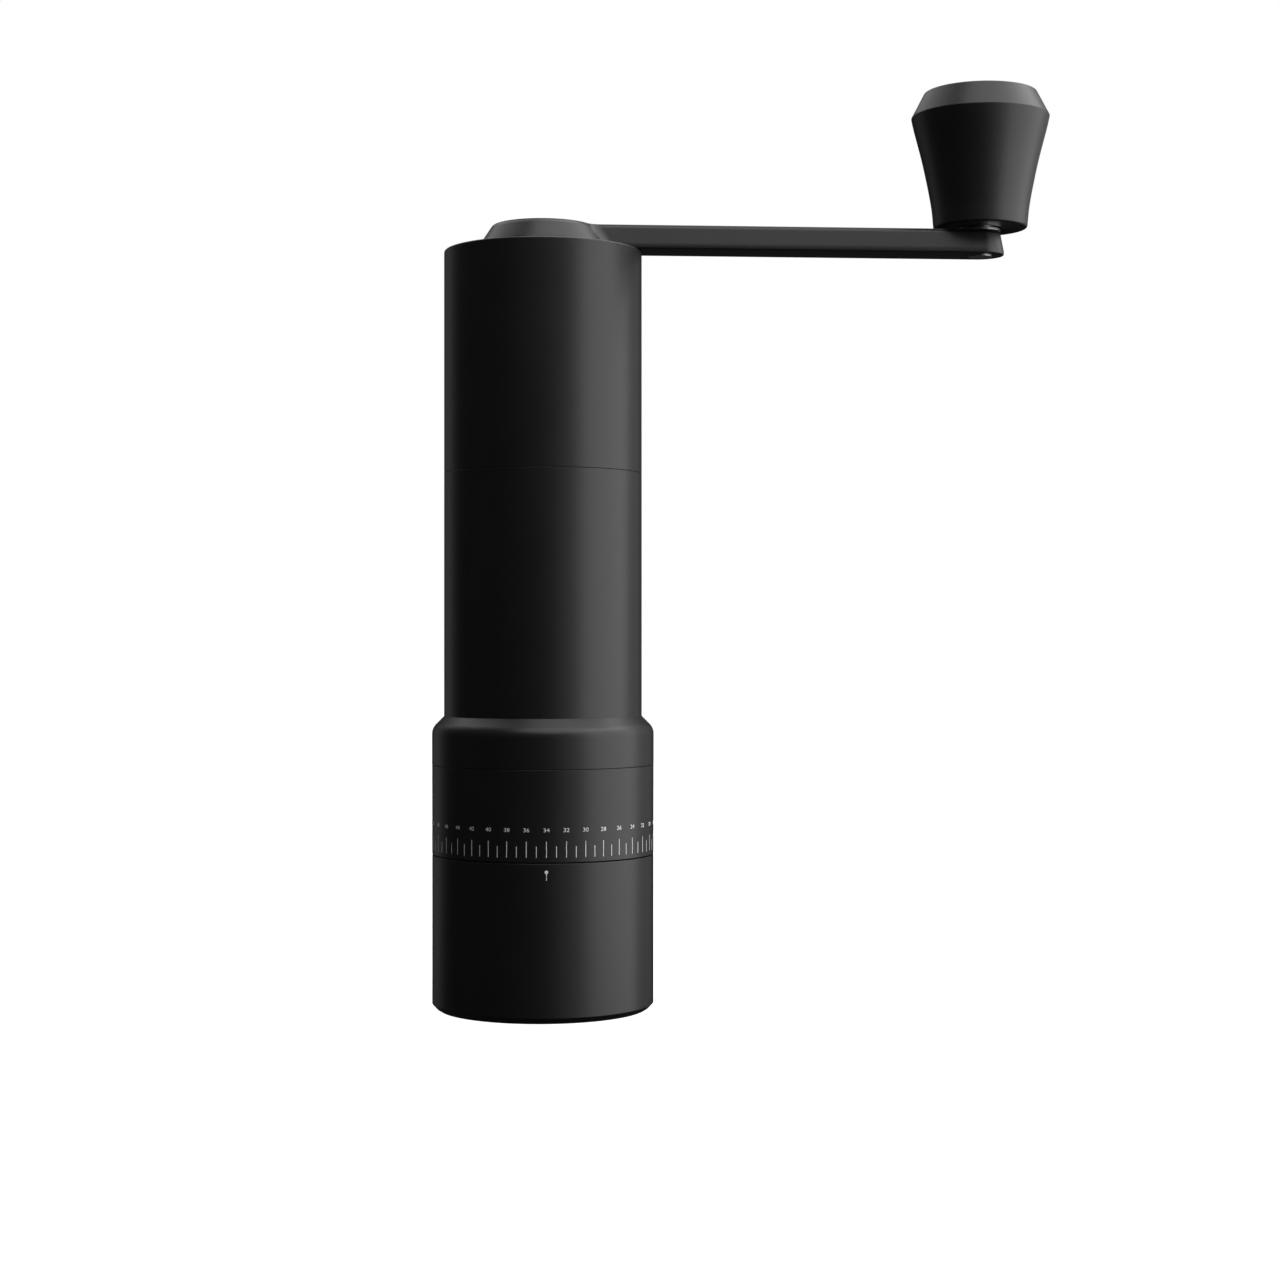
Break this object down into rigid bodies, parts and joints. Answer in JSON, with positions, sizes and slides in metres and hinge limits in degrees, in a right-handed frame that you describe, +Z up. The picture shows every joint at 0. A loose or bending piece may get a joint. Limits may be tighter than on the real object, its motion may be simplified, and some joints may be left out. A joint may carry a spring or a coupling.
{
  "type": "hand crank coffee grinder",
  "caption": "Slim hand crank coffee grinder with a numbered grind dial, magnetic catch cup, conical burrs on a bearing-mounted shaft, and a lift-off lid with crank and knob.",
  "frame": {"origin": "centre of the base pad's underside", "axes": "+Z up along the grinder's axis, -Y towards the index mark, +X along the crank arm at rest"},
  "size_m": [0.1585, 0.0562, 0.2344],
  "materials": {
    "body_black": "satin black anodised",
    "dial_black": "satin black anodised with white scale",
    "crank_black": "satin black anodised",
    "lid_black": "satin black anodised",
    "knob_black": "satin black",
    "rubber": "matt",
    "magnet": "nickel plated",
    "steel": "turned",
    "spring_steel": "tempered",
    "bearing_steel": "polished",
    "inner_aluminium": "turned",
    "burr_steel": "ground",
    "bronze": "oiled"
  },
  "bodies": {
    "catch_cup": {"catch_cup": "body_black", "base_pad": "rubber", "cup_magnets": "magnet", "cup_key": "steel"},
    "main_body": {"main_body": "body_black", "hopper_tube": "body_black", "body_magnets": "magnet", "dial_snap_ring": "spring_steel", "detent_balls": "bearing_steel", "detent_springs": "spring_steel", "upper_bridge": "inner_aluminium", "lower_bridge": "inner_aluminium", "bearing_outer_races": "bearing_steel", "bearing_balls": "bearing_steel", "carrier_spring": "spring_steel"},
    "dial": {"dial_ring": "dial_black"},
    "burr_carrier": {"burr_carrier": "inner_aluminium", "outer_burr": "burr_steel", "burr_retainer": "steel", "carrier_lugs": "steel", "lug_screws": "steel"},
    "drive": {"drive_shaft": "steel", "bearing_inner_races": "bearing_steel", "bearing_spacer": "inner_aluminium", "shaft_circlip": "spring_steel", "burr_spacer": "inner_aluminium", "inner_burr": "burr_steel", "burr_washer": "steel", "burr_nut": "steel"},
    "lid": {"lid_disc": "lid_black", "lid_o_ring": "rubber", "lid_bush": "bronze"},
    "crank": {"crank_arm": "crank_black", "crank_stem": "steel", "hub_magnet": "magnet", "hub_circlip": "spring_steel", "knob_axle": "steel"},
    "knob": {"knob_shell": "knob_black", "knob_bushes": "bronze", "knob_retainer": "spring_steel"}
  },
  "joints": [
    {"name": "body_lift", "type": "slide", "parent": "catch_cup", "child": "main_body", "axis": [0, 0, 1], "range_m": [0, 0.06]},
    {"name": "dial_turn", "type": "hinge", "parent": "main_body", "child": "dial", "pos_m": [0, 0, 0.05], "axis": [0, 0, 1], "range_deg": [-170, 180]},
    {"name": "carrier_travel", "type": "slide", "parent": "main_body", "child": "burr_carrier", "axis": [0, 0, 1], "range_m": [-0.00048, 0.00051], "deforming": ["carrier_spring"]},
    {"name": "shaft_spin", "type": "hinge", "parent": "main_body", "child": "drive", "pos_m": [0, 0, 0.1], "axis": [0, 0, 1], "continuous": true},
    {"name": "lid_lift", "type": "slide", "parent": "main_body", "child": "lid", "axis": [0, 0, 1], "range_m": [0, 0.06]},
    {"name": "crank_spin", "type": "hinge", "parent": "lid", "child": "crank", "pos_m": [0, 0, 0.19], "axis": [0, 0, 1], "continuous": true},
    {"name": "knob_spin", "type": "hinge", "parent": "crank", "child": "knob", "pos_m": [0.1127, 0, 0.21], "axis": [0, 0, 1], "continuous": true}
  ],
  "couplings": [
    {"joint": "carrier_travel", "follows": "dial_turn", "m_per_rad": 0.00015915},
    {"joint": "shaft_spin", "follows": "crank_spin", "ratio": 1}
  ]
}
